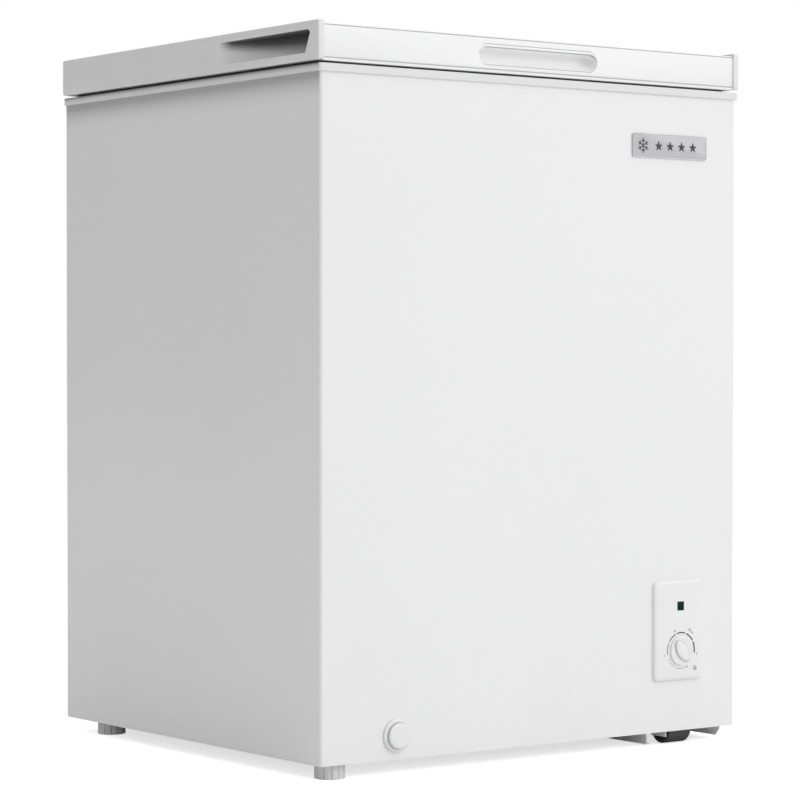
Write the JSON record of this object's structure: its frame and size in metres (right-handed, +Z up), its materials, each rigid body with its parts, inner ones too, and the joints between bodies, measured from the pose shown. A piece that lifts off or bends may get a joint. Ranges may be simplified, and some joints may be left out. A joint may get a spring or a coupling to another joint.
{
  "type": "chest freezer",
  "caption": "Small upright-sided chest freezer with a rear-hinged insulated lid, wire basket, thermostat dial, front drain cap, levelling feet and rollers.",
  "frame": {"origin": "middle of the footprint on the floor", "axes": "+X to the right seen from the front, +Y to the back, +Z up"},
  "size_m": [0.634, 0.596, 0.85],
  "materials": {
    "alu_tube": "satin",
    "badge_silver": "satin",
    "black_enamel": "satin",
    "black_rubber": "matte",
    "coated_wire": "gloss",
    "control_plastic": "satin",
    "copper": "satin",
    "dark_plastic": "matte",
    "foam": "matte",
    "foot_plastic": "matte",
    "galvanised": "satin",
    "lens": "gloss",
    "lid_plastic": "satin",
    "liner_sheet": "satin",
    "seal": "matte",
    "sleeve": "matte",
    "white_enamel": "gloss",
    "white_plastic": "satin",
    "zinc": "satin"
  },
  "bodies": {
    "cabinet": {"cabinet_wrapper": "white_enamel", "rear_panel": "galvanised", "bottom_panel": "galvanised", "compressor_base_tray": "galvanised", "cabinet_foam": "foam", "inner_liner": "liner_sheet", "top_frame": "white_plastic", "evaporator_tube": "alu_tube", "condenser_tube": "alu_tube", "drain_pipe": "white_plastic", "foot_sockets": "dark_plastic", "compressor_shell": "black_enamel", "compressor_motor": "zinc", "compressor_grommets": "black_rubber", "compressor_bolts": "zinc", "compressor_terminal_cover": "dark_plastic", "discharge_pipe": "copper", "suction_pipe": "copper", "filter_drier": "copper", "capillary_tube": "copper", "wiring_harness": "sleeve", "compressor_grille": "galvanised", "grille_screws": "zinc", "cord_gland": "black_rubber", "roller_brackets": "galvanised", "roller_axles": "zinc", "control_bezel": "control_plastic", "indicator_lens": "lens", "indicator_lamp": "dark_plastic", "thermostat_body": "dark_plastic", "thermostat_sensor": "copper", "badge_plate": "badge_silver", "hinge_housings": "zinc", "hinge_screws": "zinc", "hinge_springs": "zinc", "hinge_spring_guides": "zinc", "hinge_pins": "zinc"},
    "lid": {"lid_left_end_cap": "lid_plastic", "lid_right_end_cap": "lid_plastic", "lid_front_panel": "lid_plastic", "lid_top_panel": "white_enamel", "lid_rear_strip": "lid_plastic", "lid_foam": "foam", "lid_inner_liner": "white_plastic", "lid_gasket": "seal", "hinge_arms": "zinc", "arm_screws": "zinc"},
    "front_foot": {"front_foot": "foot_plastic"},
    "rear_foot": {"rear_foot": "foot_plastic"},
    "front_roller": {"front_roller": "dark_plastic"},
    "rear_roller": {"rear_roller": "dark_plastic"},
    "thermostat_knob": {"thermostat_knob": "control_plastic"},
    "drain_cap": {"drain_cap": "white_plastic"},
    "drain_plug": {"drain_plug": "dark_plastic"},
    "wire_basket": {"wire_basket": "coated_wire"}
  },
  "joints": [
    {"name": "lid_hinge", "type": "hinge", "parent": "cabinet", "child": "lid", "pos_m": [0, 0.29, 0.802], "axis": [-1, 0, 0], "range_deg": [0, 80], "deforming": ["hinge_springs"]},
    {"name": "thermostat_turn", "type": "hinge", "parent": "cabinet", "child": "thermostat_knob", "pos_m": [0.22, -0.29, 0.1157], "axis": [0, 1, 0], "range_deg": [-103, 139]},
    {"name": "drain_cap_pull", "type": "slide", "parent": "cabinet", "child": "drain_cap", "axis": [0, -1, 0], "range_m": [0, 0.03]},
    {"name": "drain_plug_lift", "type": "slide", "parent": "cabinet", "child": "drain_plug", "axis": [0, 0, 1], "range_m": [0, 0.05]},
    {"name": "basket_slide", "type": "slide", "parent": "cabinet", "child": "wire_basket", "axis": [1, 0, 0], "range_m": [-0.276, 0]},
    {"name": "front_foot_screw", "type": "slide", "parent": "cabinet", "child": "front_foot", "axis": [0, 0, -1], "range_m": [0, 0.012]},
    {"name": "rear_foot_screw", "type": "slide", "parent": "cabinet", "child": "rear_foot", "axis": [0, 0, -1], "range_m": [0, 0.012]},
    {"name": "front_roller_spin", "type": "hinge", "parent": "cabinet", "child": "front_roller", "pos_m": [0.2292, -0.2585, 0.018], "axis": [1, 0, 0], "continuous": true},
    {"name": "rear_roller_spin", "type": "hinge", "parent": "cabinet", "child": "rear_roller", "pos_m": [0.2292, 0.24, 0.018], "axis": [1, 0, 0], "continuous": true}
  ]
}
